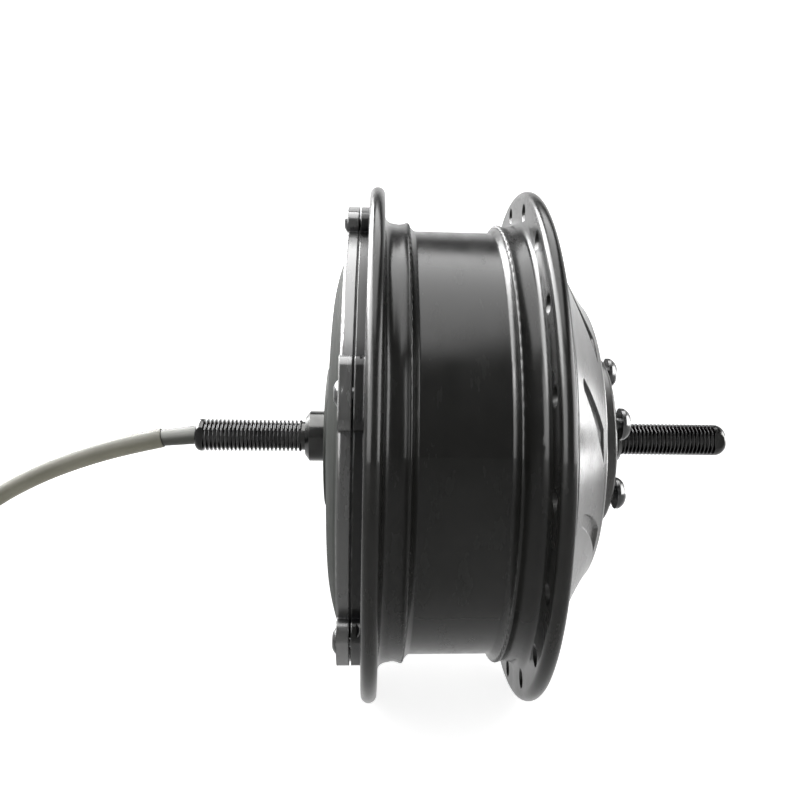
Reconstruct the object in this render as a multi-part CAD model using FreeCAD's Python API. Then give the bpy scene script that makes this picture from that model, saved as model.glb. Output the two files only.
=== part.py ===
import FreeCAD, Part
import math
import os

# Geared hub motor for a spoked front wheel, with a six-bolt disc brake mount.
# The axle lies along Y, with the cable side at -Y and the brake side at +Y. Z is up.
# The origin is on the axle axis, half-way between the two spoke flanges.
# Angles round the axle run from +X towards +Z. All sizes are millimetres.

# ---- driving dimensions ----
OVER_LOCKNUTS = 100.0                 # dropout face to dropout face
LEFT_FACE_Y = -44.2                   # dropout face on the cable side
RIGHT_FACE_Y = LEFT_FACE_Y + OVER_LOCKNUTS
AXLE_LEFT_Y = -78.3
AXLE_RIGHT_Y = 91.8
THREAD_R = 5.0                        # M10 axle ends
THREAD_PITCH = 1.25
THREAD_ROOT_R = 3.95                  # cut deep enough to cross the flats
FLATS_ACROSS = 8.6
JOURNAL_R = 7.5                       # rotor bearings, clutch and brake-side bearing
STATOR_SEAT_R = 9.5
COLLAR_R = 7.9
CABLE_BORE_R = 2.95

DRUM_R = 65.3
SHELF_R = 67.8
FLANGE_Y = 22.95                      # flange centre from the middle
FLANGE_T = 4.5
FLANGE_R = 78.4
SPOKE_CIRCLE_R = 72.3
SPOKES_PER_FLANGE = 18
SPOKE_HOLE_R = 1.35
SPOKE_SINK_R = 2.8
SPOKE_PHASE = 2.3                     # the brake side is half a pitch on
SHELL_BORE_R = 61.3
SEAM_Y = -27.7                        # open face of the shell
COVER_RIM_Y = -31.55
RIM_R = 67.1
LUG_R = 72.2
LUG_WIDTH = 19.6
LUG_ROUND_R = 3.6
LUG_COUNT = 6
LUG_PHASE = 13.0
LUG_SCREW_R = 68.2

BRAKE_FACE_Y = 48.7
BRAKE_BOSS_R = 27.1
BRAKE_CIRCLE_R = 22.0                 # six holes on a 44 mm circle
BRAKE_PHASE = 16.2
ROTOR_GAP = 2.0                       # the screws stand a brake disc's thickness off
SWIRLS = 10
SWIRL_DEPTH = 1.1

MODULE = 1.0
SUN_TEETH = 22
PLANET_TEETH = 35
RING_TEETH = SUN_TEETH + 2 * PLANET_TEETH
PRESSURE_ANGLE = math.radians(20.0)
BACKLASH = 0.14
PLANETS = 3
PLANET_PHASE = 90.0
GEAR_Y = 13.5
GEAR_WIDTH = 11.0
PLANET_CIRCLE_R = MODULE * (SUN_TEETH + PLANET_TEETH) / 2.0

STACK_Y = -20.0                       # stator laminations
STACK_LENGTH = 18.0
STATOR_R = 43.0
SLOTS = 18
MAGNETS = 20
AIR_GAP = 0.7
MAGNET_T = 3.0
MAGNET_FILL = 0.94                    # share of the bell's circle that the magnets fill
BELL_T = 3.5

RUNNING = 0.05                        # radial clearance of a running fit

CABLE_R = 3.0
FLOOR_Z = -FLANGE_R                   # the flanges' lowest point
COIL_R = 33.0
COIL_CENTRE = (-20.0, -222.0)
COIL_LAYERS = 2
TIE_T = 1.0
LAYER_Z = FLOOR_Z + TIE_T + CABLE_R   # centre of the coil's lower layer
TOP_Z = LAYER_Z + 2 * CABLE_R

# The cable's route from the sleeve to the coil, (x, y, z).
CABLE_ROUTE = [
    (0.0, -88.8, -1.1),
    (0.0, -99.5, -3.4),
    (0.5, -112.0, -7.0),
    (1.5, -125.0, -12.0),
    (3.0, -137.5, -19.0),
    (5.0, -149.0, -28.5),
    (7.5, -159.0, -40.0),
    (9.8, -168.0, -53.0),
    (11.8, -178.5, -64.5),
    (13.0, -190.5, -71.8),
    (13.2, -203.0, -75.0),
    (13.0, -214.5, -74.4),
]
TAIL_ANGLE = 45.0                     # where the tail leaves the coil's top layer
# The tail's route: distance from the coil along its tangent, then height.
TAIL_ROUTE = [
    (8.0, TOP_Z),
    (17.0, TOP_Z),
    (27.0, -69.9),
    (37.0, -71.8),
    (47.0, -72.4),
    (55.0, -72.4),
]
CONNECTOR_LENGTH = 32.0

AXIS = FreeCAD.Vector(0, 1, 0)
ORIGIN = FreeCAD.Vector(0, 0, 0)
nodes = {}


# ---- geometry helpers ----
def around(radius, angle, y=0.0):
    """A point at an angle round the axle."""
    a = math.radians(angle)
    return FreeCAD.Vector(radius * math.cos(a), y, radius * math.sin(a))


def turned(shape, angle):
    """A copy turned about the axle, from +X towards +Z."""
    copy = shape.copy()
    copy.rotate(ORIGIN, FreeCAD.Vector(0, -1, 0), angle)
    return copy


def ring_of(shape, count, phase=0.0):
    """Copies of a shape at equal angles round the axle."""
    return [turned(shape, phase + 360.0 * k / count) for k in range(count)]


def rod(radius, y0, y1, x=0.0, z=0.0):
    """A cylinder along the axle's direction."""
    return Part.makeCylinder(radius, y1 - y0, FreeCAD.Vector(x, y0, z), AXIS)


def tube(inner, outer, y0, y1):
    return rod(outer, y0, y1).cut(rod(inner, y0 - 1.0, y1 + 1.0))


def block(x0, x1, y0, y1, z0, z1):
    return Part.makeBox(x1 - x0, y1 - y0, z1 - z0, FreeCAD.Vector(x0, y0, z0))


def lathe(start, *steps):
    """A solid of revolution about the axle.

    Each step is a corner (r, y), an arc ("arc", middle, end) or a
    smooth curve ("curve", point, ..., end). The outline closes itself.
    """
    edges = []
    here = FreeCAD.Vector(start[0], start[1], 0)
    first = here
    for step in list(steps) + [start]:
        if step[0] == "arc":
            middle, end = [FreeCAD.Vector(r, y, 0) for r, y in step[1:]]
            edges.append(Part.Arc(here, middle, end).toShape())
        elif step[0] == "curve":
            passing = [here] + [FreeCAD.Vector(r, y, 0) for r, y in step[1:]]
            curve = Part.BSplineCurve()
            curve.interpolate(passing)
            edges.append(curve.toShape())
            end = passing[-1]
        else:
            end = FreeCAD.Vector(step[0], step[1], 0)
            if end.distanceToPoint(here) > 1e-6:
                edges.append(Part.LineSegment(here, end).toShape())
        here = end
    if here.distanceToPoint(first) > 1e-6:
        edges.append(Part.LineSegment(here, first).toShape())
    return Part.Face(Part.Wire(edges)).revolve(ORIGIN, AXIS, 360)


def prism(points, y0, y1):
    """A flat outline in X and Z, drawn out along the axle."""
    corners = [FreeCAD.Vector(x, y0, z) for x, z in points]
    face = Part.Face(Part.makePolygon(corners + corners[:1]))
    return face.extrude(FreeCAD.Vector(0, y1 - y0, 0))


def wedge(half_angle, y0, y1):
    """A wide wedge on +X, from the axis out past the flanges, to cut a ring down to a sector."""
    a = math.radians(half_angle)
    reach = 2.0 * FLANGE_R
    corner_x, corner_z = reach * math.cos(a), reach * math.sin(a)
    return prism([(0, 0), (corner_x, -corner_z), (corner_x, corner_z)], y0, y1)


def save(name, *solids):
    """One node: a single solid, or a group of separate ones."""
    shape = solids[0] if len(solids) == 1 else Part.makeCompound(list(solids))
    if shape.ShapeType != "Compound" and len(shape.Solids) == 1:
        shape = shape.Solids[0]
    nodes[name] = shape


# ---- gears ----
def involute(angle):
    return math.tan(angle) - angle


def tooth_half_angle(teeth, radius, extra):
    """Half of a tooth's angle at a radius. extra widens the tooth at the pitch circle."""
    pitch_r = MODULE * teeth / 2.0
    base_r = pitch_r * math.cos(PRESSURE_ANGLE)
    pressure = math.acos(min(1.0, base_r / max(radius, base_r)))
    at_pitch = (math.pi * MODULE / 2.0 + extra) / (2.0 * pitch_r)
    return at_pitch + involute(PRESSURE_ANGLE) - involute(pressure)


def gear_outline(teeth, root_r, tip_r, extra, phase, flank_steps=4):
    """The corners of a toothed outline, with one tooth's middle at phase degrees."""
    base_r = MODULE * teeth / 2.0 * math.cos(PRESSURE_ANGLE)
    start_r = max(root_r, base_r)
    radii = [start_r + (tip_r - start_r) * k / flank_steps for k in range(flank_steps + 1)]
    if root_r < base_r:
        radii.insert(0, root_r)
    points = []
    for tooth in range(teeth):
        middle = math.radians(phase) + 2.0 * math.pi * tooth / teeth
        halves = [tooth_half_angle(teeth, r, extra) for r in radii]
        rising = [(r, middle - half) for r, half in zip(radii, halves)]
        falling = [(r, middle + half) for r, half in zip(radii, halves)][::-1]
        points += [(r * math.cos(a), r * math.sin(a)) for r, a in rising + falling]
    return points


def mesh_phases():
    """Tooth phases of the planets and the ring for a sun with a tooth at 0 degrees."""
    sun_step = 360.0 / SUN_TEETH
    planet_step = 360.0 / PLANET_TEETH
    planets = []
    for k in range(PLANETS):
        direction = PLANET_PHASE + 360.0 * k / PLANETS
        offset = round(direction / sun_step) * sun_step - direction
        space = direction + 180.0 - offset * SUN_TEETH / PLANET_TEETH
        planets.append(space + planet_step / 2.0)
    beyond = planets[0] - PLANET_PHASE
    offset = beyond - round(beyond / planet_step) * planet_step
    ring_space = PLANET_PHASE + offset * PLANET_TEETH / RING_TEETH
    return planets, ring_space


# ---- axle ----
def thread_steps(y0, y1):
    """The outline of the axle's thread from y0 to y1, one groove to each pitch."""
    root_half = 0.15
    crest_half = root_half + (THREAD_R - THREAD_ROOT_R) * math.tan(math.radians(20.0))
    steps = []
    for k in range(int((y1 - y0) / THREAD_PITCH)):
        middle = y0 + THREAD_PITCH * (k + 0.5)
        steps.append((THREAD_R, middle - crest_half))
        steps.append((THREAD_ROOT_R, middle - root_half))
        steps.append((THREAD_ROOT_R, middle + root_half))
        steps.append((THREAD_R, middle + crest_half))
    return steps


def make_axle():
    body = lathe(
        (0.0, AXLE_LEFT_Y),
        (4.0, AXLE_LEFT_Y),
        ("arc", (4.75, AXLE_LEFT_Y + 0.7), (THREAD_R, AXLE_LEFT_Y + 2.2)),
        *thread_steps(AXLE_LEFT_Y + 2.3, LEFT_FACE_Y - 1.6),
        (THREAD_R, LEFT_FACE_Y - 1.6),
        (4.5, LEFT_FACE_Y - 1.2),
        (4.5, LEFT_FACE_Y + 0.3),
        (THREAD_R + RUNNING, LEFT_FACE_Y),
        (6.2, LEFT_FACE_Y),
        (COLLAR_R, LEFT_FACE_Y + 1.3),
        (COLLAR_R, -36.2),
        (8.5, -36.2),
        (8.5, -31.2),
        (STATOR_SEAT_R, -31.2),
        (STATOR_SEAT_R, 0.0),
        (JOURNAL_R, 0.0),
        (JOURNAL_R, 46.6),
        (6.0, 46.6),
        (6.0, RIGHT_FACE_Y),
        (THREAD_R + RUNNING, RIGHT_FACE_Y),
        (4.5, RIGHT_FACE_Y - 0.3),
        (4.5, RIGHT_FACE_Y + 1.2),
        (THREAD_R, RIGHT_FACE_Y + 1.6),
        *thread_steps(RIGHT_FACE_Y + 1.6, AXLE_RIGHT_Y - 3.5),
        (THREAD_R, AXLE_RIGHT_Y - 3.4),
        ("arc", (3.9, AXLE_RIGHT_Y - 1.0), (2.2, AXLE_RIGHT_Y)),
        (0.0, AXLE_RIGHT_Y),
    )
    body = body.cut(rod(CABLE_BORE_R, AXLE_LEFT_Y - 1.0, -25.6))
    body = body.cut(block(-2.1, 2.1, -30.4, -26.0, 0.0, 12.0))
    for y0, y1 in ((-14.0, -6.0), (28.0, 34.0)):
        keyway_r = STATOR_SEAT_R if y1 < 0 else JOURNAL_R
        body = body.cut(block(-1.5, 1.5, y0, y1, keyway_r - 1.5, keyway_r + 2.0))
    for y0 in (10.25, 25.4):
        body = body.cut(tube(6.8, 9.0, y0, y0 + 1.0))
    half = FLATS_ACROSS / 2.0
    for y0, y1 in ((AXLE_LEFT_Y - 1.0, LEFT_FACE_Y), (RIGHT_FACE_Y, AXLE_RIGHT_Y + 1.0)):
        for side in (-1, 1):
            near, far = sorted((side * half, side * 8.0))
            body = body.cut(block(near, far, y0, y1, -8.0, 8.0))
    save("axle", body)


def make_axle_fittings():
    save("keys", block(-1.5, 1.5, -14.0, -6.0, 8.0, 11.0), block(-1.5, 1.5, 28.0, 34.0, 6.0, 9.0))
    clips = []
    for y0 in (10.25, 25.4):
        clip = tube(6.8, 8.6, y0 + 0.05, y0 + 0.95)
        clips.append(clip.cut(block(-1.6, 1.6, y0, y0 + 1.0, -10.0, 0.0)))
    save("axle_circlips", *clips)
    save("inner_spacer", tube(JOURNAL_R, 9.4, 36.05, 39.6))
    save("brake_side_spacer", lathe(
        (6.0, 46.6),
        (8.0, 46.6),
        (8.0, RIGHT_FACE_Y - 1.2),
        (6.9, RIGHT_FACE_Y),
        (6.0, RIGHT_FACE_Y),
    ))


# ---- bearings ----
def make_bearing(inner_r, outer_r, y0, y1, balls):
    """A deep-groove ball bearing: inner race, outer race, and balls in their cage."""
    pitch_r = (inner_r + outer_r) / 2.0
    ball_r = (outer_r - inner_r) * 0.29
    middle = (y0 + y1) / 2.0
    groove = Part.makeTorus(pitch_r, ball_r + 0.04, FreeCAD.Vector(0, middle, 0), AXIS)
    shoulder = ball_r * 0.62
    inner = tube(inner_r, pitch_r - shoulder, y0, y1).cut(groove)
    outer = tube(pitch_r + shoulder, outer_r, y0, y1).cut(groove)
    places = [around(pitch_r, 360.0 * k / balls, middle) for k in range(balls)]
    cage_half = ball_r * 1.25
    cage = tube(pitch_r - 0.35, pitch_r + 0.35, middle - cage_half, middle + cage_half)
    start = FreeCAD.Vector(pitch_r - 2.0, middle, 0)
    pocket = Part.makeCylinder(ball_r + 0.06, 4.0, start, FreeCAD.Vector(1, 0, 0))
    cage = cage.cut(ring_of(pocket, balls))
    rolling = [Part.makeSphere(ball_r, place) for place in places]
    return inner, outer, rolling + [cage]


def make_bearings():
    inner, outer, rolling = make_bearing(8.5, 13.0, -36.2, -31.2, 12)
    save("left_bearing_inner", inner)
    save("left_bearing_outer", outer)
    save("left_bearing_balls", *rolling)
    inner, outer, rolling = make_bearing(JOURNAL_R, 14.0, 39.6, 46.6, 9)
    save("right_bearing_inner", inner)
    save("right_bearing_outer", outer)
    save("right_bearing_balls", *rolling)
    inners, outers, balls = [], [], []
    for y0 in (0.0, 5.1):
        inner, outer, rolling = make_bearing(JOURNAL_R, 12.0, y0, y0 + 5.0, 11)
        inners.append(inner)
        outers.append(outer)
        balls += rolling
    save("rotor_bearing_inners", *inners)
    save("rotor_bearing_outers", *outers)
    save("rotor_bearing_balls", *balls)


# ---- shell ----
def dome_outline(shift=0.0):
    """The brake-side dome from its rim to the brake boss, as lathe steps."""
    return [
        (63.2, 28.2 + shift),
        ("arc", (63.0, 28.7 + shift), (62.4, 28.9 + shift)),
        ("curve", (58.2, 31.2 + shift), (54.2, 33.6 + shift), (48.4, 37.3 + shift),
         (44.4, 40.3 + shift)),
        ("arc", (43.5, 41.1 + shift), (42.2, 41.5 + shift)),
        (29.0, 43.6 + shift),
        ("arc", (27.7, 44.2 + shift), (BRAKE_BOSS_R, 45.4 + shift)),
    ]


def half_drum(side):
    """The outside of one half of the drum and its flange, from the middle out, as steps."""
    inner = FLANGE_Y - FLANGE_T / 2.0
    outer = FLANGE_Y + FLANGE_T / 2.0
    tip = FLANGE_R - FLANGE_T / 2.0
    steps = [
        (DRUM_R, side * 11.6),
        ("arc", (DRUM_R + 0.5, side * 12.3), (SHELF_R - 0.9, side * 13.2)),
        ("arc", (SHELF_R - 0.1, side * 13.6), (SHELF_R, side * 14.1)),
        ("arc", (SHELF_R - 0.55, side * 16.0), (SHELF_R - 0.3, side * 18.0)),
        ("arc", (SHELF_R + 0.5, side * 19.9), (SHELF_R + 2.4, side * inner)),
        (tip, side * inner),
        ("arc", (FLANGE_R, side * FLANGE_Y), (tip, side * outer)),
    ]
    return steps


def reversed_steps(start, steps):
    """The same outline walked the other way: its start, then its steps."""
    ends = [start] + [step[-1] if step[0] == "arc" else step for step in steps]
    back = []
    for k in range(len(steps) - 1, -1, -1):
        step = steps[k]
        back.append(("arc", step[1], ends[k]) if step[0] == "arc" else ends[k])
    return ends[-1], back


def lugs(y0, y1):
    """Six rounded screw lugs on a rim."""
    span = math.degrees((LUG_WIDTH / 2.0 - LUG_ROUND_R) / LUG_R)
    end = rod(LUG_ROUND_R, y0, y1, LUG_R - LUG_ROUND_R)
    middle = tube(RIM_R - 4.0, LUG_R, y0, y1).common(wedge(span, y0, y1))
    one = middle.fuse([turned(end, -span), turned(end, span)])
    return ring_of(one, LUG_COUNT, LUG_PHASE)


def spoke_hole(inner, outer):
    """A spoke's hole through a flange, countersunk on both faces."""
    hole = rod(SPOKE_HOLE_R, inner - 1.0, outer + 1.0, SPOKE_CIRCLE_R)
    sink_depth = SPOKE_SINK_R - SPOKE_HOLE_R
    wide = SPOKE_SINK_R + 1.0
    cones = []
    for face, way in ((inner, 1), (outer, -1)):
        start = FreeCAD.Vector(SPOKE_CIRCLE_R, face - way * 1.0, 0)
        cones.append(Part.makeCone(wide, SPOKE_HOLE_R, sink_depth + 1.0, start, AXIS * way))
    return hole.fuse(cones)


def swirl_recess():
    """One crescent on the dome, as the material to take away."""
    low, top = (45.2, -3.5), (53.6, 20.0)
    outer, inner = (54.9, 16.9), (44.9, 5.8)
    edges = []
    for a, middle, b in (
        (low, (48.9, 6.1), outer),
        (outer, (54.6, 18.8), top),
        (top, (48.4, 13.8), inner),
        (inner, (45.2, 1.5), low),
    ):
        edges.append(Part.Arc(*[FreeCAD.Vector(x, 20, z) for x, z in (a, middle, b)]).toShape())
    face = Part.Face(Part.Wire(edges))
    crescent = face.extrude(FreeCAD.Vector(0, 40, 0))
    under = lathe((20.0, 15.0), (63.2, 15.0), *dome_outline(-SWIRL_DEPTH), (20.0, 44.0))
    return crescent.cut(under)


def make_hub_shell():
    left_start, left = reversed_steps((DRUM_R, 0.0), half_drum(-1))
    right = half_drum(1)
    outer_y = FLANGE_Y + FLANGE_T / 2.0
    body = lathe(
        (SHELL_BORE_R, SEAM_Y),
        (RIM_R, SEAM_Y),
        (RIM_R, -outer_y),
        left_start,
        *left,
        *right,
        (63.2, outer_y),
        *dome_outline(),
        (BRAKE_BOSS_R, BRAKE_FACE_Y - 0.6),
        (BRAKE_BOSS_R - 0.6, BRAKE_FACE_Y),
        (12.2, BRAKE_FACE_Y),
        (12.2, 46.6),
        (14.0, 46.6),
        (14.0, 36.8),
        (26.5, 36.8),
        (28.0, 38.2),
        (39.0, 37.6),
        ("arc", (41.5, 36.9), (43.0, 35.2)),
        (50.5, 30.2),
        (52.0, 28.4),
        (52.0, 24.5),
        (SHELL_BORE_R, 24.5),
    )
    body = body.fuse(lugs(SEAM_Y, -outer_y))
    cuts = []
    for side, phase in ((-1, SPOKE_PHASE), (1, SPOKE_PHASE + 180.0 / SPOKES_PER_FLANGE)):
        inner, outer = sorted((side * (FLANGE_Y - FLANGE_T / 2.0), side * outer_y))
        cuts += ring_of(spoke_hole(inner, outer), SPOKES_PER_FLANGE, phase)
    cuts += ring_of(rod(1.65, SEAM_Y - 1.0, -22.0, LUG_SCREW_R), LUG_COUNT, LUG_PHASE)
    cuts += ring_of(rod(1.25, 23.0, 29.4, 56.5), 6, 30.0)
    cuts += ring_of(rod(2.1, 39.2, BRAKE_FACE_Y + 1.0, BRAKE_CIRCLE_R), 6, BRAKE_PHASE)
    cuts += ring_of(swirl_recess(), SWIRLS)
    body = body.cut(cuts)
    save("hub_shell", body)


def make_side_cover():
    body = lathe(
        (11.0, -37.9),
        ("arc", (17.0, -37.85), (21.4, -37.5)),
        (22.2, -36.8),
        ("curve", (29.2, -36.15), (40.4, -35.6), (46.0, -35.1), (49.6, -34.4), (55.0, -32.9)),
        ("arc", (56.5, -32.3), (58.5, -32.0)),
        (RIM_R - 1.0, COVER_RIM_Y - 0.1),
        ("arc", (RIM_R - 0.2, COVER_RIM_Y + 0.25), (RIM_R, COVER_RIM_Y + 0.9)),
        (RIM_R, -28.2),
        (SHELL_BORE_R - 0.05, -28.2),
        (SHELL_BORE_R - 0.05, -25.6),
        (58.4, -25.6),
        (58.4, -28.4),
        (54.0, -29.8),
        (48.5, -31.8),
        (20.0, -33.0),
        (17.2, -31.4),
        (13.0, -31.2),
        (13.0, -36.2),
        (11.0, -36.2),
    )
    body = body.fuse(lugs(COVER_RIM_Y, -28.2))
    holes = rod(2.1, COVER_RIM_Y - 2.0, -27.0, LUG_SCREW_R)
    sink = rod(3.75, COVER_RIM_Y - 2.0, COVER_RIM_Y + 1.1, LUG_SCREW_R)
    body = body.cut(ring_of(holes.fuse(sink), LUG_COUNT, LUG_PHASE))
    save("side_cover", body)
    save("cover_gasket", tube(SHELL_BORE_R + 0.2, RIM_R - 0.7, -28.2, SEAM_Y))
    save("cable_side_seal", lathe(
        (COLLAR_R + RUNNING, -37.9),
        (9.0, -37.6),
        (11.0, -37.6),
        (11.0, -36.3),
        (COLLAR_R + RUNNING, -36.3),
    ))
    save("brake_side_seal", tube(8.0 + RUNNING, 12.2, 46.9, 48.5))


def button_screw(head_r, head_h, shank_r, length, socket_r, seat_y, toward):
    """A button-head screw on the axle axis. Its shank points along toward, +1 or -1."""
    rim = head_h * 0.3
    y = seat_y
    head = lathe(
        (0.0, y),
        (head_r, y),
        (head_r, y - toward * rim),
        ("arc", (head_r * 0.8, y - toward * (rim + (head_h - rim) * 0.62)),
         (head_r * 0.46, y - toward * head_h)),
        (0.0, y - toward * head_h),
    )
    a, b = sorted((y, y + toward * length))
    screw = head.fuse(rod(shank_r, a, b))
    side = [(socket_r * math.cos(math.radians(60 * k)), socket_r * math.sin(math.radians(60 * k)))
            for k in range(6)]
    a, b = sorted((y - toward * head_h * 0.4, y - toward * (head_h + 1.0)))
    return screw.cut(prism(side, a, b))


def placed_ring(shape, radius, count, phase):
    moved = shape.copy()
    moved.translate(FreeCAD.Vector(radius, 0, 0))
    return ring_of(moved, count, phase)


def make_screws():
    cover = button_screw(3.6, 2.2, 1.65, 8.0, 1.3, COVER_RIM_Y + 1.1, 1)
    save("cover_screws", *placed_ring(cover, LUG_SCREW_R, LUG_COUNT, LUG_PHASE))
    brake = button_screw(4.75, 3.2, 2.1, 11.4, 1.7, BRAKE_FACE_Y + ROTOR_GAP, -1)
    save("brake_disc_screws", *placed_ring(brake, BRAKE_CIRCLE_R, 6, BRAKE_PHASE))
    ring = button_screw(2.75, 1.6, 1.25, 8.6, 1.0, GEAR_Y + 6.5, 1)
    save("ring_gear_screws", *placed_ring(ring, 56.5, 6, 30.0))


# ---- gear train ----
def make_gears():
    planet_phases, ring_space = mesh_phases()
    root_depth = 1.25 * MODULE
    sun_r, planet_r, ring_r = [MODULE * teeth / 2.0 for teeth in (SUN_TEETH, PLANET_TEETH, RING_TEETH)]
    thinner = -BACKLASH / 2.0
    outline = gear_outline(SUN_TEETH, sun_r - root_depth, sun_r + MODULE, thinner, 0.0)
    sun = prism(outline, 12.2, 25.0)
    sun = sun.fuse(rod(12.0, 10.3, 12.2)).cut(rod(JOURNAL_R + 0.4, 10.0, 26.0))
    save("sun_gear", sun.cut(rod(9.2, 10.0, 11.8)))
    for k in range(PLANETS):
        phase = planet_phases[k]
        outline = gear_outline(PLANET_TEETH, planet_r - root_depth, planet_r + MODULE, thinner, phase)
        gear = prism(outline, GEAR_Y, GEAR_Y + GEAR_WIDTH).cut(rod(5.5, 10.0, 30.0))
        for y0 in (GEAR_Y - 0.5, GEAR_Y + GEAR_WIDTH - 2.0):
            gear = gear.cut(tube(8.2, 14.0, y0, y0 + 2.5))
        place = around(PLANET_CIRCLE_R, PLANET_PHASE + 360.0 * k / PLANETS)
        gear.translate(place)
        save("planet_gear_%d" % (k + 1), gear)
        bush = tube(3.5 + RUNNING, 5.5, GEAR_Y - 0.1, GEAR_Y + GEAR_WIDTH + 0.4)
        bush.translate(place)
        save("planet_bush_%d" % (k + 1), bush)
    outline = gear_outline(RING_TEETH, ring_r - MODULE, ring_r + root_depth, -thinner, ring_space)
    teeth = prism(outline, 10.0, 30.0)
    end_y = GEAR_Y + GEAR_WIDTH
    ring = rod(51.0, GEAR_Y, end_y).fuse(rod(SHELL_BORE_R - 0.05, GEAR_Y + 6.5, end_y))
    ring = ring.cut([teeth] + ring_of(rod(1.45, 10.0, 30.0, 56.5), 6, 30.0))
    save("ring_gear", ring)


def make_carrier():
    """The planet carrier, its pins, and the one-way clutch that holds it on the axle."""
    plate = rod(36.5, 25.5, 29.5).fuse(rod(20.0, 25.5, 36.0))
    plate = plate.cut(rod(14.80, 25.0, 37.0))
    lightening = rod(5.0, 25.0, 30.0, 27.5)
    plate = plate.cut(ring_of(lightening, PLANETS, PLANET_PHASE + 60.0))
    pins = []
    for k in range(PLANETS):
        pin = lathe((0.0, 12.4), (5.2, 12.4), (5.2, 13.3), (3.5, 13.3), (3.5, 29.5), (0.0, 29.5))
        pin.translate(around(PLANET_CIRCLE_R, PLANET_PHASE + 360.0 * k / PLANETS))
        pins.append(pin)
    plate = plate.cut([rod(3.5, 20.0, 32.0, p.CenterOfMass.x, p.CenterOfMass.z) for p in pins])
    save("planet_carrier", plate)
    save("planet_pins", *pins)
    hub = tube(JOURNAL_R, 11.2, 26.5, 36.0)
    save("clutch_hub", hub.cut(block(-1.5, 1.5, 28.0, 34.0, 5.0, 9.0)))
    roller = rod(1.78, 27.0, 35.5, 13.0)
    save("clutch_rollers", *ring_of(roller, 10))


# ---- electric motor ----
def make_stator():
    y0, y1 = STACK_Y, STACK_Y + STACK_LENGTH
    tooth_w = 4.6
    disc = tube(22.0, 27.0, y0, y1)
    tips = tube(40.6, STATOR_R, y0, y1)
    slot = block(20.0, 50.0, y0 - 1.0, y1 + 1.0, -1.1, 1.1)
    half_step = 180.0 / SLOTS
    tips = tips.cut(ring_of(slot, SLOTS, half_step))
    tooth = block(26.0, 41.2, y0, y1, -tooth_w / 2.0, tooth_w / 2.0)
    core = disc.fuse(ring_of(tooth, SLOTS) + tips.Solids)
    save("stator_core", core.removeSplitter())
    plates = []
    for base in (y0 - 1.0, y1):
        plate = tube(22.0, 26.9, base, base + 1.0)
        bar = block(26.0, 41.0, base, base + 1.0, -tooth_w / 2.0, tooth_w / 2.0)
        plates.append(plate.fuse(ring_of(bar, SLOTS)).removeSplitter())
    save("end_insulators", *plates)
    wire_t = 2.05
    inner = block(27.4, 39.8, y0 - 1.0, y1 + 1.0, -tooth_w / 2.0, tooth_w / 2.0)
    outer = block(27.4, 39.8, y0 - 1.0 - wire_t, y1 + 1.0 + wire_t,
                  -tooth_w / 2.0 - wire_t, tooth_w / 2.0 + wire_t)
    corners = [e for e in outer.Edges if abs(e.Vertexes[0].X - e.Vertexes[1].X) > 5.0]
    coil = outer.makeFillet(1.4, corners).cut(inner)
    save("windings", *ring_of(coil, SLOTS))
    hub = tube(STATOR_SEAT_R, 22.0, y0, y1)
    hub = hub.cut(ring_of(rod(3.2, y0 - 1.0, y1 + 1.0, 15.8), 6))
    save("stator_hub", hub.cut(block(-1.5, 1.5, -14.0, -6.0, 5.0, 11.0)))
    board = tube(12.0, 40.0, -26.0, -24.4)
    board = board.cut(ring_of(rod(1.2, -27.0, -24.0, 24.5), 3))
    save("hall_board", board)
    spacer = tube(1.2, 2.2, -24.4, y0 - 1.0)
    save("board_standoffs", *placed_ring(spacer, 24.5, 3, 0.0))


def make_rotor():
    magnet_r = STATOR_R + AIR_GAP
    bell_in = magnet_r + MAGNET_T
    bell_out = bell_in + BELL_T
    bell = lathe(
        (bell_in, -22.0),
        (bell_out, -22.0),
        (bell_out, 6.0),
        (bell_out - 1.0, 7.0),
        (15.5, 7.0),
        (15.5, 12.2),
        (12.0, 12.2),
        (12.0, -0.4),
        (15.5, -0.4),
        (15.5, 3.5),
        (bell_in, 3.5),
    )
    windows = ring_of(rod(6.0, 2.0, 9.0, 31.0), 6)
    save("rotor_bell", bell.cut(windows))
    magnet = tube(magnet_r, bell_in, -21.5, 0.0)
    sector = wedge(360.0 / MAGNETS / 2.0 * MAGNET_FILL, -22.0, 1.0)
    save("magnets", *ring_of(magnet.common(sector).Solids[0], MAGNETS))


# ---- cable ----
def rounded_path(points):
    """Straight runs joined by tangent arcs, each as large as its two runs allow."""
    p = [FreeCAD.Vector(*q) for q in points]
    edges = []
    here = p[0]
    for k in range(1, len(p) - 1):
        a = (p[k - 1] - p[k]).normalize()
        b = (p[k + 1] - p[k]).normalize()
        turn = math.pi - a.getAngle(b)
        run = min(p[k].distanceToPoint(p[k - 1]), p[k].distanceToPoint(p[k + 1]))
        setback = 0.45 * run
        radius = setback / math.tan(turn / 2.0)
        start, end = p[k] + a * setback, p[k] + b * setback
        inward = (a + b).normalize()
        middle = p[k] + inward * (math.hypot(radius, setback) - radius)
        edges.append(Part.LineSegment(here, start).toShape())
        edges.append(Part.Arc(start, middle, end).toShape())
        print("cable radius at point %d: %.1f mm" % (k, radius))
        here = end
    edges.append(Part.LineSegment(here, p[-1]).toShape())
    return Part.Wire(edges)


def cable_tube(points, radius):
    path = rounded_path(points)
    start = FreeCAD.Vector(*points[0])
    heading = (FreeCAD.Vector(*points[1]) - start).normalize()
    section = Part.Wire(Part.makeCircle(radius, start, heading))
    solid = path.makePipeShell([section], True, True)
    print("cable volume %.0f, section x length %.0f" % (solid.Volume, math.pi * radius ** 2 * path.Length))
    return solid


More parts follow.
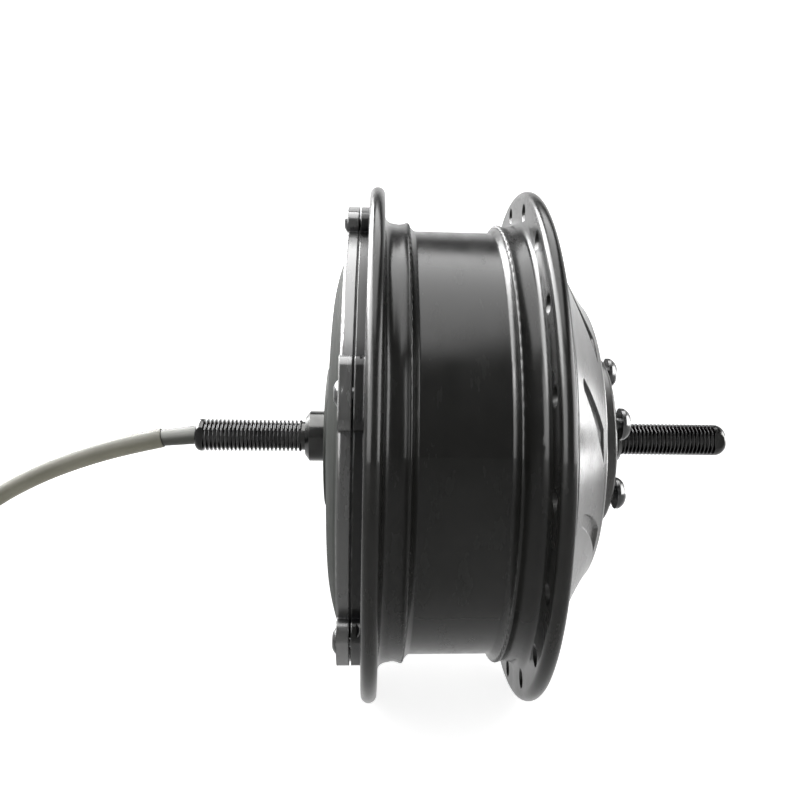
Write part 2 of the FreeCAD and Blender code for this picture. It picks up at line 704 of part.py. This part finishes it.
def tail_points():
    """The tail's route in space, leaving the coil along its tangent."""
    a = math.radians(TAIL_ANGLE)
    x0 = COIL_CENTRE[0] + COIL_R * math.cos(a)
    y0 = COIL_CENTRE[1] + COIL_R * math.sin(a)
    return [(x0 + s * math.sin(a), y0 - s * math.cos(a), z) for s, z in TAIL_ROUTE]


def make_cable():
    start = FreeCAD.Vector(0, AXLE_LEFT_Y, 0)
    end = FreeCAD.Vector(*CABLE_ROUTE[0])
    heading = FreeCAD.Vector(*CABLE_ROUTE[1]) - end
    near = Part.Wire(Part.makeCircle(2.9, start, FreeCAD.Vector(0, -1, 0)))
    far = Part.Wire(Part.makeCircle(2.6, end, heading))
    sleeve = rod(2.9, AXLE_LEFT_Y, AXLE_LEFT_Y + 5.0).fuse(Part.makeLoft([near, far], True))
    save("cable_sleeve", sleeve)
    save("motor_cable", cable_tube(CABLE_ROUTE, CABLE_R))
    core = rod(1.8, AXLE_LEFT_Y + 5.0, -28.2).fuse(Part.makeSphere(1.8, FreeCAD.Vector(0, -28.2, 0)))
    core = core.fuse(Part.makeCylinder(1.8, 14.0, FreeCAD.Vector(0, -28.2, 0), FreeCAD.Vector(0, 0, 1)))
    save("inner_lead", core)

    x, y = COIL_CENTRE
    low, high = FLOOR_Z + TIE_T, FLOOR_Z + TIE_T + COIL_LAYERS * 2 * CABLE_R
    r0, r1, bulge = COIL_R - CABLE_R, COIL_R + CABLE_R, 1.2
    corners = [
        (r0, low + bulge), (r0 + bulge, low), (r1 - bulge, low), (r1, low + bulge),
        (r1, high - bulge), (r1 - bulge, high), (r0 + bulge, high), (r0, high - bulge),
    ]
    face = Part.Face(Part.makePolygon([FreeCAD.Vector(r, 0, z) for r, z in corners + corners[:1]]))
    coil = face.revolve(ORIGIN, FreeCAD.Vector(0, 0, 1), 360)
    coil.translate(FreeCAD.Vector(x, y, 0))
    save("cable_coil", coil)
    gap = 0.1                         # play of the tie round the coil
    near, far = -r1 - gap, -r0 + gap
    band = block(near - TIE_T, far + TIE_T, -1.5, 1.5, FLOOR_Z, high + gap + TIE_T)
    hole = block(near, far, -2.0, 2.0, low, high + gap)
    tie = band.cut(hole)
    tie.translate(FreeCAD.Vector(x, y, 0))
    save("cable_tie", tie)

    route = tail_points()
    save("cable_tail", cable_tube(route, CABLE_R))
    start = FreeCAD.Vector(*route[-1])
    heading = start - FreeCAD.Vector(*route[-2])
    length = CONNECTOR_LENGTH
    body = lathe(
        (0.0, 0.0),
        (3.9, 0.0),
        (4.8, 7.0),
        (4.8, 9.5),
        (5.8, 10.2),
        (5.8, 21.0),
        (5.2, 21.6),
        (5.2, length),
        (4.3, length),
        (4.3, length - 8.0),
        (0.0, length - 8.0),
    )
    pin = rod(0.5, length - 8.0, length - 1.5)
    pins = [pin.copy()] + placed_ring(pin, 2.6, 8, 0.0)
    turn = FreeCAD.Rotation(AXIS, heading)
    placement = FreeCAD.Placement(start, turn)
    for one in [body] + pins:
        one.Placement = placement.multiply(one.Placement)
    save("connector_body", body)
    save("connector_pins", *pins)


def main():
    make_axle()
    make_axle_fittings()
    make_bearings()
    make_hub_shell()
    make_side_cover()
    make_screws()
    make_gears()
    make_carrier()
    make_stator()
    make_rotor()
    make_cable()
    os.makedirs("parts", exist_ok=True)
    for name, shape in nodes.items():
        if not shape.isValid():
            print("not valid:", name)
        shape.exportStep("parts/%s.step" % name)
        print("%-22s solids %2d  volume %9.1f" % (name, len(shape.Solids), shape.Volume))


main()
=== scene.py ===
import math
import bmesh
import bpy
from mathutils import Euler, Matrix, Vector


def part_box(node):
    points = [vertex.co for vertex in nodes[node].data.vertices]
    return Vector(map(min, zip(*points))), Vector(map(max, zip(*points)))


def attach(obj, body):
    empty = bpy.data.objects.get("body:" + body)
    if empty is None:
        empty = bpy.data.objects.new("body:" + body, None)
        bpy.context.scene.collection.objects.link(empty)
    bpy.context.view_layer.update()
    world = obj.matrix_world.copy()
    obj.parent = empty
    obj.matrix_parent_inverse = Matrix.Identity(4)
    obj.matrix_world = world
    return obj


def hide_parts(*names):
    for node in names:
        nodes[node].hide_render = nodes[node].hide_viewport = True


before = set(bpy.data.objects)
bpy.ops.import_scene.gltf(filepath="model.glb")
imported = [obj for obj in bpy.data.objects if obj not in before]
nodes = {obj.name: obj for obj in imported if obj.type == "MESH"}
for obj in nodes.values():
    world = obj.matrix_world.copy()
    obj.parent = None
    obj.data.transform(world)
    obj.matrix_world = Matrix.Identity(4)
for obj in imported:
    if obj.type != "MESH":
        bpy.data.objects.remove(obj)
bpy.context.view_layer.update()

# ---- sizes, in metres ----
MM = 0.001
FLOOR_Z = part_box("hub_shell")[0].z
CABLE_R = 3.0 * MM
COIL_R = 33.0 * MM
COIL_CENTRE = (-20.0 * MM, -222.0 * MM)
TIE_T = 1.0 * MM
LOW_Z = FLOOR_Z + TIE_T + CABLE_R
TOP_Z = LOW_Z + 2 * CABLE_R
TAIL_ANGLE = math.radians(45.0)
COIL_TURNS = 2.0 - TAIL_ANGLE / (2 * math.pi)
POINTS_PER_TURN = 16
CLIMB_START = 0.72                   # turns of the coil before the cable climbs onto itself
CLIMB_TURNS = 0.24

# The tie round the coil. Its blocks are the head, the pawl and the tail, each with the place of
# its centre from the head's in X and Z, its size and its bevel.
TIE_HALF_WIDTH = 1.5 * MM
TIE_PLAY = 0.1 * MM
TIE_CORNER_R = 1.5 * MM
TIE_CORNER_STEPS = 6
TIE_STEP = 0.45 * MM                 # from a ridge to the next groove
TIE_GROOVE = 0.72                    # the strap's thickness in a groove, as a share of TIE_T
TIE_HEAD_LIFT = 1.2 * MM             # the head's centre above the strap
TIE_BLOCKS = [
    ((0.0, 0.0), (4.2 * MM, 4.8 * MM, 2.8 * MM), 0.5 * MM),
    ((-0.3 * MM, 1.4 * MM), (1.8 * MM, 2.2 * MM, 0.7 * MM), 0.2 * MM),
    ((3.4 * MM, 0.0), (4.4 * MM, 2 * TIE_HALF_WIDTH, 1.0 * MM), 0.2 * MM),
]

# The plug's cone and the ribs round it.
CONE_START_R = 3.9 * MM
CONE_END_R = 4.8 * MM
CONE_LENGTH = 7.0 * MM
RIBS = 6
RIB_PITCH = 1.6 * MM
RIB_HEIGHT = 0.6 * MM
RIB_STEPS = 8
RIB_SIDES = 48
SHARP_ANGLE = math.radians(35.0)     # a piece made here is shaded smooth across edges below this

# Where the paint's finish changes along the axle: from drum to dome, and from the cover's face to its rim.
DOME_EDGE_Y = (28.6 * MM, 29.4 * MM)
COVER_EDGE_Y = (-31.8 * MM, -31.2 * MM)

# The camera.
CAMERA_PLACE = (0.27616, -0.02255, 0.02103)
CAMERA_TURN = (92.078, -0.923, 85.821)    # degrees about X, Y and Z
CAMERA_LENS = 38.749
CAMERA_SHIFT = (-0.04865, -0.0747)

# The floor: a flat disc that bends up into a round wall, lit fully behind the hub and less in front.
FLOOR_R = 3.5
FLOOR_BEND_R = 1.2
FLOOR_BEND_STEPS = 12
WALL_TOP = 4.0
FLOOR_SIDES = 96
FLOOR_GLOW = (0.84, 0.08)
GLOW_FADES_X = (0.08, 0.90)
ROOM_GLOW = 0.10

# The softboxes: place, the point each faces, width, height and brightness.
HUB_CENTRE = (0, 0, 0)
SOFTBOXES = {
    "top_softbox": ((0.125, -0.05, 0.90), HUB_CENTRE, 0.75, 1.25, 11.5),
    "left_softbox": ((-0.15, -0.90, 0.75), HUB_CENTRE, 1.8, 0.8, 42.0),
    "left_panel": ((0.72, -0.78, 0.20), HUB_CENTRE, 0.95, 1.0, 16.0),
    "right_softbox": ((0.20, 0.95, 0.25), HUB_CENTRE, 1.0, 0.7, 18.0),
    "right_card": ((-0.27, 0.44, -0.01), (0.05, 0.035, 0), 0.32, 0.14, 4.8),
}

# The cable's route from the sleeve to the coil, and its tail's distances and heights, in millimetres.
CABLE_ROUTE = [
    (0.0, -88.8, -1.1),
    (0.0, -99.5, -3.4),
    (0.5, -112.0, -7.0),
    (1.5, -125.0, -12.0),
    (3.0, -137.5, -19.0),
    (5.0, -149.0, -28.5),
    (7.5, -159.0, -40.0),
    (9.8, -168.0, -53.0),
    (11.8, -178.5, -64.5),
    (13.0, -190.5, -71.8),
    (13.2, -203.0, -75.0),
    (13.0, -214.5, -74.4),
]
TAIL_ROUTE = [(8.0, -68.4), (17.0, -68.4), (27.0, -69.9), (37.0, -71.8), (47.0, -72.4), (55.0, -72.4)]


# ---- camera ----
def add_camera():
    data = bpy.data.cameras.new("camera")
    data.sensor_width = 36.0
    data.lens = CAMERA_LENS
    data.shift_x, data.shift_y = CAMERA_SHIFT
    data.clip_start = 0.01
    data.clip_end = 20.0
    camera = bpy.data.objects.new("camera", data)
    bpy.context.collection.objects.link(camera)
    turn = Euler([math.radians(angle) for angle in CAMERA_TURN]).to_matrix().to_4x4()
    camera.matrix_world = Matrix.Translation(CAMERA_PLACE) @ turn
    bpy.context.scene.camera = camera


# ---- materials ----
class Shader:
    """A small node-tree builder for one procedural material."""

    def __init__(self, name):
        self.material = bpy.data.materials.new(name)
        self.material.use_nodes = True
        self.tree = self.material.node_tree
        self.tree.nodes.clear()
        output = self.node("ShaderNodeOutputMaterial")
        self.body = self.node("ShaderNodeBsdfPrincipled")
        self.link(self.body.outputs["BSDF"], output.inputs["Surface"])
        self.place = self.node("ShaderNodeTexCoord").outputs["Object"]

    def node(self, kind, **settings):
        made = self.tree.nodes.new(kind)
        for key, value in settings.items():
            setattr(made, key, value)
        return made

    def link(self, source, target):
        self.tree.links.new(source, target)

    def noise(self, scale, detail=4.0, roughness=0.55, stretch=None):
        """Cloudy noise with a middle value of 0.5. stretch scales it along each axis."""
        place = self.place
        if stretch:
            mapping = self.node("ShaderNodeMapping")
            mapping.inputs["Scale"].default_value = stretch
            self.link(place, mapping.inputs["Vector"])
            place = mapping.outputs["Vector"]
        made = self.node("ShaderNodeTexNoise")
        made.inputs["Scale"].default_value = scale
        made.inputs["Detail"].default_value = detail
        made.inputs["Roughness"].default_value = roughness
        self.link(place, made.inputs["Vector"])
        return made.outputs["Fac"]

    def spread(self, value, low, high, from_low=0.3, from_high=0.7):
        """A value's range mapped to another, clamped."""
        made = self.node("ShaderNodeMapRange")
        made.inputs["From Min"].default_value = from_low
        made.inputs["From Max"].default_value = from_high
        made.inputs["To Min"].default_value = low
        made.inputs["To Max"].default_value = high
        self.link(value, made.inputs["Value"])
        return made.outputs["Result"]

    def along(self, axis):
        """The place along one axis, in metres."""
        made = self.node("ShaderNodeSeparateXYZ")
        self.link(self.place, made.inputs[0])
        return made.outputs[axis]

    def maths(self, operation, a, b):
        """One calculation on two numbers or node values."""
        made = self.node("ShaderNodeMath", operation=operation)
        for value, socket in ((a, made.inputs[0]), (b, made.inputs[1])):
            if isinstance(value, (int, float)):
                socket.default_value = value
            else:
                self.link(value, socket)
        return made.outputs[0]

    def mix(self, factor, a, b):
        """Two colours mixed. This node's inputs 6 and 7 and its output 2 are the colour sockets."""
        made = self.node("ShaderNodeMix", data_type="RGBA")
        self.link(factor, made.inputs["Factor"])
        for value, socket in ((a, made.inputs[6]), (b, made.inputs[7])):
            if isinstance(value, tuple):
                socket.default_value = (*value, 1.0)
            else:
                self.link(value, socket)
        return made.outputs[2]

    def height(self, value, distance, strength):
        """Adds a bump layer over those already there."""
        made = self.node("ShaderNodeBump")
        made.inputs["Distance"].default_value = distance
        made.inputs["Strength"].default_value = strength
        self.link(value, made.inputs["Height"])
        socket = self.body.inputs["Normal"]
        if socket.is_linked:
            self.link(socket.links[0].from_socket, made.inputs["Normal"])
        self.link(made.outputs["Normal"], socket)

    def rounding(self, radius):
        """The surface direction with every sharp edge rounded to a radius."""
        made = self.node("ShaderNodeBevel", samples=8)
        made.inputs["Radius"].default_value = radius
        return made.outputs["Normal"]

    def edges(self, rounded, low=0.02, high=0.3):
        """1 on sharp outer and inner edges, 0 on open faces."""
        here = self.node("ShaderNodeNewGeometry").outputs["Normal"]
        dot = self.node("ShaderNodeVectorMath", operation="DOT_PRODUCT")
        self.link(rounded, dot.inputs[0])
        self.link(here, dot.inputs[1])
        return self.spread(dot.outputs["Value"], 1.0, 0.0, 1.0 - high, 1.0 - low)

    def color(self, value):
        """Sets the base colour from a node."""
        self.link(value, self.body.inputs["Base Color"])

    def set(self, **values):
        """Sets the body's inputs by name, each to a number or from a node."""
        for key, value in values.items():
            socket = self.body.inputs[key.replace("_", " ").title().replace("Ior", "IOR")]
            if isinstance(value, (int, float)):
                socket.default_value = value
            else:
                self.link(value, socket)


# The finishes of the black paint: two tones, specular level, and the roughness from low to high.
DRUM_FINISH = ((0.009, 0.009, 0.008), (0.015, 0.015, 0.014), 0.13, (0.20, 0.30))
DOME_FINISH = ((0.036, 0.035, 0.034), (0.050, 0.049, 0.047), 0.30, (0.22, 0.30))
RIM_FINISH = ((0.030, 0.030, 0.029), (0.042, 0.042, 0.040), 0.56, (0.22, 0.32))
MATT_FINISH = ((0.010, 0.012, 0.010), (0.016, 0.018, 0.015), 0.05, (0.50, 0.65))
# The near-black colour of the painted shade in the paint's hollows.
PAINTED_SHADE = (0.012, 0.012, 0.014)
BARE_METAL = (0.24, 0.24, 0.25)


def paint_material(name, edge_y, left_finish, right_finish):
    """Black paint with orange peel, painted shade darkening its hollows, and rubbed edges.

    Its finish changes across edge_y, from left_finish on the -Y side to right_finish.
    """
    s = Shader(name)
    left_dark, left_light, left_shine, left_rough = left_finish
    right_dark, right_light, right_shine, right_rough = right_finish
    beyond = s.spread(s.along("Y"), 0.0, 1.0, *edge_y)
    cloud = s.spread(s.noise(35.0, 3.0), 0.0, 1.0)
    base = s.mix(beyond, s.mix(cloud, left_dark, left_light), s.mix(cloud, right_dark, right_light))
    # Painted shade: the hollows that ambient occlusion finds are darkened towards a near-black colour.
    hollow = s.node("ShaderNodeAmbientOcclusion", samples=6)
    hollow.inputs["Distance"].default_value = 3.0 * MM
    shaded = s.spread(hollow.outputs["AO"], 1.0, 0.0, from_low=0.45, from_high=0.85)
    base = s.mix(s.maths("MULTIPLY", shaded, 0.8), base, PAINTED_SHADE)
    chips = s.spread(s.noise(260.0), 0.0, 0.7, from_low=0.50, from_high=0.68)
    rounded = s.rounding(0.6 * MM)
    s.link(rounded, s.body.inputs["Normal"])
    rubbed = s.maths("MULTIPLY", s.edges(rounded, low=0.06, high=0.4), chips)
    s.color(s.mix(rubbed, base, BARE_METAL))
    smear = s.noise(60.0, 5.0, 0.6, stretch=(1.0, 3.0, 1.0))
    on_left = s.spread(smear, *left_rough)
    on_right = s.spread(smear, *right_rough)
    step = s.maths("MULTIPLY", beyond, s.maths("SUBTRACT", on_right, on_left))
    s.set(metallic=0.0, roughness=s.maths("ADD", on_left, step))
    s.set(specular_ior_level=s.spread(beyond, left_shine, right_shine, from_low=0.0, from_high=1.0))
    s.height(s.noise(1400.0, 2.0), distance=0.02 * MM, strength=0.35)
    return s.material


def turned_steel(name, dark, light, rough):
    """Steel from the lathe: fine rings round the axle, stains and bright edges."""
    s = Shader(name)
    cloud = s.noise(90.0, 5.0)
    base = s.mix(s.spread(cloud, 0.0, 1.0), dark, light)
    patches = s.spread(s.noise(500.0), 0.12, 0.60)
    worn = s.maths("MULTIPLY", s.edges(s.rounding(0.25 * MM)), patches)
    s.color(s.mix(worn, base, (0.40, 0.40, 0.41)))
    s.set(metallic=1.0, roughness=s.spread(s.noise(160.0, 6.0), rough * 0.8, rough * 1.3))
    rings = s.noise(2600.0, 2.0, 0.5, stretch=(0.02, 1.0, 0.02))
    s.height(rings, distance=0.01 * MM, strength=0.5)
    return s.material


def grained_steel(name, dark, light, rough):
    """Plain machined, cast or stamped metal with a faint grain."""
    s = Shader(name)
    s.color(s.mix(s.spread(s.noise(120.0, 6.0), 0.0, 1.0), dark, light))
    s.set(metallic=1.0, roughness=s.spread(s.noise(300.0, 4.0), rough * 0.75, rough * 1.3))
    s.height(s.noise(1800.0, 2.0), distance=0.008 * MM, strength=0.5)
    return s.material


def soft_plastic(name, dark, light, rough, grain, depth, shine=0.3):
    """A moulded plastic or rubber with faint scuffs and a grain of a given scale and depth."""
    s = Shader(name)
    s.color(s.mix(s.spread(s.noise(80.0, 4.0), 0.0, 1.0), dark, light))
    scuffs = s.noise(220.0, 6.0, 0.65)
    s.set(metallic=0.0, specular_ior_level=shine, roughness=s.spread(scuffs, rough * 0.85, rough * 1.2))
    s.height(s.noise(grain, 2.0), distance=depth, strength=0.6)
    return s.material


def copper_material():
    """Enamelled copper wire, finely uneven."""
    s = Shader("copper_wire")
    s.color(s.mix(s.spread(s.noise(150.0), 0.0, 1.0), (0.45, 0.15, 0.05), (0.72, 0.30, 0.12)))
    s.set(metallic=1.0, roughness=0.3, coat_weight=0.6)
    s.height(s.noise(1500.0, 1.0), distance=0.15 * MM, strength=0.8)
    return s.material


def give(material, *names):
    """Puts a material on whole CAD nodes."""
    for name in names:
        mesh = nodes[name].data
        mesh.materials.clear()
        mesh.materials.append(material)


def dress_painted():
    give(paint_material("shell_paint", DOME_EDGE_Y, DRUM_FINISH, DOME_FINISH), "hub_shell")
    give(paint_material("cover_paint", COVER_EDGE_Y, MATT_FINISH, RIM_FINISH), "side_cover")


def dress_turned():
    axle = turned_steel("axle_steel", (0.015, 0.015, 0.015), (0.036, 0.036, 0.035), rough=0.20)
    give(axle, "axle", "brake_side_spacer")
    screws = turned_steel("screw_steel", (0.035, 0.035, 0.035), (0.07, 0.07, 0.07), rough=0.22)
    give(screws, "cover_screws", "brake_disc_screws", "ring_gear_screws")
    race = turned_steel("bearing_steel", (0.50, 0.50, 0.52), (0.66, 0.66, 0.68), rough=0.14)
    give(race, "left_bearing_inner", "left_bearing_outer", "left_bearing_balls")
    give(race, "right_bearing_inner", "right_bearing_outer", "right_bearing_balls")
    give(race, "rotor_bearing_inners", "rotor_bearing_outers", "rotor_bearing_balls", "clutch_rollers")


def dress_machined():
    steel = grained_steel("machined_steel", (0.30, 0.30, 0.31), (0.42, 0.42, 0.44), rough=0.32)
    give(steel, "ring_gear", "planet_carrier", "planet_pins", "clutch_hub", "rotor_bell", "sun_gear")
    give(steel, "keys", "axle_circlips", "inner_spacer")
    plates = grained_steel("electrical_steel", (0.20, 0.20, 0.21), (0.30, 0.30, 0.32), rough=0.45)
    give(plates, "stator_core")
    aluminium = grained_steel("aluminium", (0.52, 0.52, 0.54), (0.64, 0.64, 0.66), rough=0.35)
    give(aluminium, "stator_hub")
    give(grained_steel("nickel", (0.50, 0.49, 0.46), (0.62, 0.61, 0.58), rough=0.25), "magnets")
    bronze = grained_steel("bronze", (0.50, 0.33, 0.13), (0.64, 0.45, 0.20), rough=0.3)
    give(bronze, "planet_bush_1", "planet_bush_2", "planet_bush_3", "board_standoffs", "connector_pins")
    give(copper_material(), "windings")


def dress_plastic(plug):
    dark, light = (0.70, 0.67, 0.56), (0.80, 0.77, 0.68)
    nylon = soft_plastic("nylon", dark, light, rough=0.45, grain=900.0, depth=0.02 * MM)
    give(nylon, "planet_gear_1", "planet_gear_2", "planet_gear_3", "end_insulators")
    dark, light = (0.01, 0.09, 0.03), (0.02, 0.14, 0.05)
    board = soft_plastic("solder_mask", dark, light, rough=0.3, grain=1200.0, depth=0.01 * MM)
    give(board, "hall_board")
    give(plug, "connector_body")
    dark, light = (0.010, 0.010, 0.010), (0.020, 0.020, 0.020)
    rubber = soft_plastic("black_rubber", dark, light, rough=0.6, grain=1500.0, depth=0.02 * MM)
    give(rubber, "cover_gasket", "cable_side_seal", "brake_side_seal")
    dark, light = (0.022, 0.024, 0.017), (0.038, 0.039, 0.030)
    sleeve = soft_plastic("sleeve_rubber", dark, light, rough=0.45, grain=1400.0, depth=0.02 * MM)
    give(sleeve, "cable_sleeve")
    give(cable_material(), "inner_lead")


def plug_material():
    dark, light = (0.012, 0.012, 0.013), (0.022, 0.022, 0.023)
    return soft_plastic("plug_plastic", dark, light, rough=0.42, grain=1100.0, depth=0.03 * MM)


def tie_material():
    dark, light = (0.012, 0.012, 0.012), (0.022, 0.022, 0.022)
    return soft_plastic("tie_nylon", dark, light, rough=0.34, grain=1300.0, depth=0.01 * MM)


def cable_material():
    dark, light = (0.16, 0.155, 0.12), (0.20, 0.195, 0.155)
    return soft_plastic("cable_jacket", dark, light, rough=0.38, grain=700.0, depth=0.03 * MM, shine=0.10)


# ---- cable ----
def coil_point(k):
    """A point of the coil. The second turn climbs onto the first before it comes round to it."""
    turn = k / POINTS_PER_TURN
    angle = -2 * math.pi * turn
    climb = min(1.0, max(0.0, (turn - CLIMB_START) / CLIMB_TURNS))
    height = LOW_Z + (TOP_Z - LOW_Z) * (3 * climb ** 2 - 2 * climb ** 3)
    x = COIL_CENTRE[0] + COIL_R * math.cos(angle)
    y = COIL_CENTRE[1] + COIL_R * math.sin(angle)
    return (x, y, height)


def tail_point(distance, height):
    """A point of the tail, at a distance from the coil in millimetres along its heading."""
    x = COIL_CENTRE[0] + COIL_R * math.cos(TAIL_ANGLE) + distance * MM * math.sin(TAIL_ANGLE)
    y = COIL_CENTRE[1] + COIL_R * math.sin(TAIL_ANGLE) - distance * MM * math.cos(TAIL_ANGLE)
    return (x, y, height * MM)


def add_cable(details):
    """The cable, from the sleeve through the coil to the plug, as one smooth curve."""
    points = [(x * MM, y * MM, z * MM) for x, y, z in CABLE_ROUTE]
    points += [coil_point(k) for k in range(1, int(COIL_TURNS * POINTS_PER_TURN) + 1)]
    points += [tail_point(*place) for place in TAIL_ROUTE]
    curve = bpy.data.curves.new("power_cable", "CURVE")
    curve.dimensions = "3D"
    curve.bevel_depth = CABLE_R
    curve.bevel_resolution = 8
    curve.resolution_u = 12
    curve.use_fill_caps = True
    spline = curve.splines.new("NURBS")
    spline.points.add(len(points) - 1)
    for point, place in zip(spline.points, points):
        point.co = (*place, 1.0)
    spline.order_u = 3
    spline.use_endpoint_u = True
    curve.materials.append(cable_material())
    cable = bpy.data.objects.new("power_cable", curve)
    bpy.context.collection.objects.link(cable)
    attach(cable, "fixed")
    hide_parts("motor_cable", "cable_coil", "cable_tail")


# ---- details of the cable's end ----
def add_piece(name, work, material):
    """A finished mesh as a smooth-shaded piece on the fixed body."""
    mesh = bpy.data.meshes.new(name)
    bmesh.ops.recalc_face_normals(work, faces=work.faces)
    work.to_mesh(mesh)
    work.free()
    mesh.materials.append(material)
    mesh.shade_smooth()
    mesh.set_sharp_from_angle(angle=SHARP_ANGLE)
    piece = bpy.data.objects.new(name, mesh)
    bpy.context.collection.objects.link(piece)
    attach(piece, "fixed")
    return piece


def join_rings(work, rings):
    """Faces between each ring of points and the next."""
    for near, far in zip(rings, rings[1:]):
        for n in range(len(near)):
            work.faces.new((near[n - 1], near[n], far[n], far[n - 1]))


def add_block(work, centre, size, bevel):
    """A block with rounded edges."""
    place = Matrix.Translation(centre) @ Matrix.Diagonal((*size, 1.0))
    made = bmesh.ops.create_cube(work, size=1.0, matrix=place)
    edges = {edge for vert in made["verts"] for edge in vert.link_edges}
    bmesh.ops.bevel(work, geom=list(edges), offset=bevel, segments=3, affect="EDGES")


def rounded_loop(left, right, low, high, corner, step):
    """Points and outward directions round a rectangle with rounded corners, in X and Z.

    Points on its straight sides are about step apart.
    """
    middles = [
        (right - corner, high - corner),
        (left + corner, high - corner),
        (left + corner, low + corner),
        (right - corner, low + corner),
    ]
    loop = []
    for k, (x, z) in enumerate(middles):
        for turn in range(TIE_CORNER_STEPS + 1):
            angle = math.radians(90.0 * (k + turn / TIE_CORNER_STEPS))
            out = Vector((math.cos(angle), 0, math.sin(angle)))
            loop.append((Vector((x, 0, z)) + out * corner, out))
        here = loop[-1]
        ahead = math.radians(90.0 * (k + 1))
        out = Vector((math.cos(ahead), 0, math.sin(ahead)))
        x2, z2 = middles[(k + 1) % 4]
        goal = Vector((x2, 0, z2)) + out * corner
        count = int((goal - here[0]).length / step)
        for n in range(1, count):
            loop.append((here[0].lerp(goal, n / count), out))
    return loop


def add_tie():
    """The nylon tie round the coil: a ridged strap, its head with the pawl, and its trimmed tail."""
    left = COIL_CENTRE[0] - COIL_R - CABLE_R - TIE_PLAY
    right = COIL_CENTRE[0] - COIL_R + CABLE_R + TIE_PLAY
    high = TOP_Z + CABLE_R + TIE_PLAY
    y = COIL_CENTRE[1]
    work = bmesh.new()
    rings = []
    loop = rounded_loop(left, right, FLOOR_Z + TIE_T, high, TIE_CORNER_R, TIE_STEP)
    for k, (place, out) in enumerate(loop):
        outer = place + out * TIE_T * (1.0 if k % 2 else TIE_GROOVE)
        corners = [
            (place, -TIE_HALF_WIDTH),
            (place, TIE_HALF_WIDTH),
            (outer, TIE_HALF_WIDTH),
            (outer, -TIE_HALF_WIDTH),
        ]
        rings.append([work.verts.new((at.x, y + side, at.z)) for at, side in corners])
    join_rings(work, rings + rings[:1])
    head_x = 0.5 * (left + right)
    head_z = high + TIE_T + TIE_HEAD_LIFT
    for (from_x, from_z), size, bevel in TIE_BLOCKS:
        add_block(work, (head_x + from_x, y, head_z + from_z), size, bevel)
    tie = add_piece("tie_strap", work, tie_material())
    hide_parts("cable_tie")
    return tie


def add_plug_ribs(material):
    """Soft ribs round the plug's cone, where the cable bends."""
    start = Vector(tail_point(*TAIL_ROUTE[-1]))
    along = Vector((math.sin(TAIL_ANGLE), -math.cos(TAIL_ANGLE), 0))
    across = Vector((0, 0, 1)).cross(along)
    work = bmesh.new()
    rings = []
    for k in range(RIBS * RIB_STEPS + 1):
        reach = RIB_PITCH * k / RIB_STEPS
        cone = min(CONE_END_R, CONE_START_R + (CONE_END_R - CONE_START_R) * reach / CONE_LENGTH)
        r = cone + RIB_HEIGHT * 0.5 * (1.0 - math.cos(2 * math.pi * k / RIB_STEPS))
        ring = []
        for n in range(RIB_SIDES):
            angle = 2 * math.pi * n / RIB_SIDES
            out = across * math.cos(angle) + Vector((0, 0, math.sin(angle)))
            ring.append(work.verts.new(start + along * reach + out * r))
        rings.append(ring)
    join_rings(work, rings)
    work.faces.new(rings[0])
    work.faces.new(rings[-1])
    return add_piece("plug_ribs", work, material)


# ---- studio ----
def floor_mesh():
    """A flat disc that bends up into a round wall, with no seam."""
    profile = [(FLOOR_R, 0.0)]
    for k in range(1, FLOOR_BEND_STEPS + 1):
        angle = math.radians(90.0 * k / FLOOR_BEND_STEPS)
        r = FLOOR_R + FLOOR_BEND_R * math.sin(angle)
        profile.append((r, FLOOR_BEND_R * (1.0 - math.cos(angle))))
    profile.append((FLOOR_R + FLOOR_BEND_R, WALL_TOP))
    turns = [2 * math.pi * n / FLOOR_SIDES for n in range(FLOOR_SIDES)]
    work = bmesh.new()
    rings = []
    for r, z in profile:
        rings.append([work.verts.new((r * math.cos(t), r * math.sin(t), FLOOR_Z + z)) for t in turns])
    join_rings(work, rings)
    for face in work.faces:
        face.smooth = True
    work.faces.new(rings[0])
    mesh = bpy.data.meshes.new("floor")
    work.to_mesh(mesh)
    work.free()
    return mesh


def floor_material():
    """Matt white paper whose glow falls off towards the front."""
    s = Shader("floor_paper")
    s.color(s.mix(s.spread(s.noise(3.0), 0.0, 1.0), (0.86, 0.86, 0.86), (0.88, 0.88, 0.88)))
    s.body.inputs["Emission Color"].default_value = (1.0, 1.0, 1.0, 1.0)
    glow = s.spread(s.along("X"), *FLOOR_GLOW, *GLOW_FADES_X)
    s.set(roughness=1.0, specular_ior_level=0.0, emission_strength=glow)
    s.height(s.noise(600.0, 3.0), distance=0.02 * MM, strength=0.3)
    return s.material


def add_floor():
    """The pale floor, which belongs to the studio and not to the hub."""
    mesh = floor_mesh()
    mesh.materials.append(floor_material())
    floor = bpy.data.objects.new("floor", mesh)
    bpy.context.collection.objects.link(floor)


def add_softbox(name, place, target, width, height, brightness):
    """A softbox that only shows as a reflection. The floor and the room give the other light."""
    data = bpy.data.lights.new(name, "AREA")
    data.shape = "RECTANGLE"
    data.size = width
    data.size_y = height
    data.energy = brightness * math.pi * width * height
    light = bpy.data.objects.new(name, data)
    bpy.context.collection.objects.link(light)
    light.location = place
    aim = Vector(target) - Vector(place)
    light.rotation_euler = aim.to_track_quat("-Z", "Y").to_euler()
    light.visible_diffuse = False


def add_lights():
    world = bpy.data.worlds.new("studio")
    world.use_nodes = True
    room = world.node_tree.nodes["Background"]
    room.inputs["Color"].default_value = (1.0, 1.0, 1.0, 1.0)
    room.inputs["Strength"].default_value = ROOM_GLOW
    bpy.context.scene.world = world
    bpy.context.scene.view_settings.view_transform = "Standard"
    for name, softbox in SOFTBOXES.items():
        add_softbox(name, *softbox)


add_camera()
plug = plug_material()
dress_painted()
dress_turned()
dress_machined()
dress_plastic(plug)
add_cable([add_tie(), add_plug_ribs(plug)])
add_floor()
add_lights()
